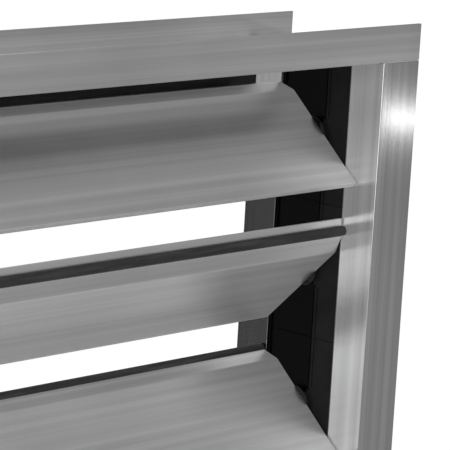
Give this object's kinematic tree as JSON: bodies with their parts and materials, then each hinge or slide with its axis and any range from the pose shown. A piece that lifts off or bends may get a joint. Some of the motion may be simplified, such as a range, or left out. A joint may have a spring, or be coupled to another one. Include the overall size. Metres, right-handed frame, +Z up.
{
  "type": "volume control damper",
  "caption": "Opposed-blade volume control damper: an aluminium channel frame with outward flanges, hollow aerofoil blades geared together at one jamb, and a drive spindle.",
  "frame": {"origin": "middle of the front face of the bottom mounting flange", "axes": "+X along the blades towards the drive side, -Y out of the front, +Z up"},
  "size_m": [0.736, 0.125, 0.67],
  "materials": {
    "aluminium_frame": "mill",
    "aluminium_blade": "mill",
    "black_plastic": "satin",
    "gear_plastic": "satin",
    "gasket_rubber": "matte",
    "steel": "zinc plated"
  },
  "bodies": {
    "frame": {"bottom_rail": "aluminium_frame", "bottom_stop": "black_plastic", "corner_screws": "steel", "left_bearing_plate_1": "black_plastic", "left_bearing_plate_2": "black_plastic", "left_bearing_plate_3": "black_plastic", "left_bearing_plate_4": "black_plastic", "left_bearing_plate_5": "black_plastic", "left_bearing_plate_6": "black_plastic", "left_jamb": "aluminium_frame", "rear_strip": "black_plastic", "right_bearing_plate_1": "black_plastic", "right_bearing_plate_2": "black_plastic", "right_bearing_plate_3": "black_plastic", "right_bearing_plate_4": "black_plastic", "right_bearing_plate_5": "black_plastic", "right_bearing_plate_6": "black_plastic", "right_jamb": "aluminium_frame", "top_rail": "aluminium_frame", "top_stop": "black_plastic"},
    "blade_1_set": {"blade_1": "aluminium_blade", "gear_1": "gear_plastic", "gear_screw_1": "steel", "left_pivot_1": "black_plastic", "right_pivot_1": "black_plastic"},
    "blade_2_set": {"blade_2": "aluminium_blade", "gasket_2": "gasket_rubber", "gear_2": "gear_plastic", "gear_screw_2": "steel", "left_pivot_2": "black_plastic", "right_pivot_2": "black_plastic"},
    "blade_3_set": {"blade_3": "aluminium_blade", "drive_spindle": "steel", "gasket_3": "gasket_rubber", "gear_3": "gear_plastic", "left_pivot_3": "black_plastic", "right_pivot_3": "black_plastic", "spindle_grub_screw": "steel"},
    "blade_4_set": {"blade_4": "aluminium_blade", "gasket_4": "gasket_rubber", "gear_4": "gear_plastic", "gear_screw_4": "steel", "left_pivot_4": "black_plastic", "right_pivot_4": "black_plastic"},
    "blade_5_set": {"blade_5": "aluminium_blade", "gasket_5": "gasket_rubber", "gear_5": "gear_plastic", "gear_screw_5": "steel", "left_pivot_5": "black_plastic", "right_pivot_5": "black_plastic"},
    "blade_6_set": {"blade_6": "aluminium_blade", "gasket_6": "gasket_rubber", "gear_6": "gear_plastic", "gear_screw_6": "steel", "left_pivot_6": "black_plastic", "right_pivot_6": "black_plastic"}
  },
  "joints": [
    {"name": "blade_1_turn", "type": "hinge", "parent": "frame", "child": "blade_1_set", "pos_m": [0, 0.0625, 0.572], "axis": [1, 0, 0], "range_deg": [-43, 47]},
    {"name": "blade_2_turn", "type": "hinge", "parent": "frame", "child": "blade_2_set", "pos_m": [0, 0.0625, 0.472], "axis": [1, 0, 0], "range_deg": [-47, 43]},
    {"name": "blade_3_turn", "type": "hinge", "parent": "frame", "child": "blade_3_set", "pos_m": [0, 0.0625, 0.372], "axis": [1, 0, 0], "range_deg": [-43, 47]},
    {"name": "blade_4_turn", "type": "hinge", "parent": "frame", "child": "blade_4_set", "pos_m": [0, 0.0625, 0.272], "axis": [1, 0, 0], "range_deg": [-47, 43]},
    {"name": "blade_5_turn", "type": "hinge", "parent": "frame", "child": "blade_5_set", "pos_m": [0, 0.0625, 0.172], "axis": [1, 0, 0], "range_deg": [-43, 47]},
    {"name": "blade_6_turn", "type": "hinge", "parent": "frame", "child": "blade_6_set", "pos_m": [0, 0.0625, 0.072], "axis": [1, 0, 0], "range_deg": [-47, 43]}
  ],
  "couplings": [
    {"joint": "blade_1_turn", "follows": "blade_3_turn", "ratio": 1},
    {"joint": "blade_2_turn", "follows": "blade_3_turn", "ratio": -1},
    {"joint": "blade_4_turn", "follows": "blade_3_turn", "ratio": -1},
    {"joint": "blade_5_turn", "follows": "blade_3_turn", "ratio": 1},
    {"joint": "blade_6_turn", "follows": "blade_3_turn", "ratio": -1}
  ]
}
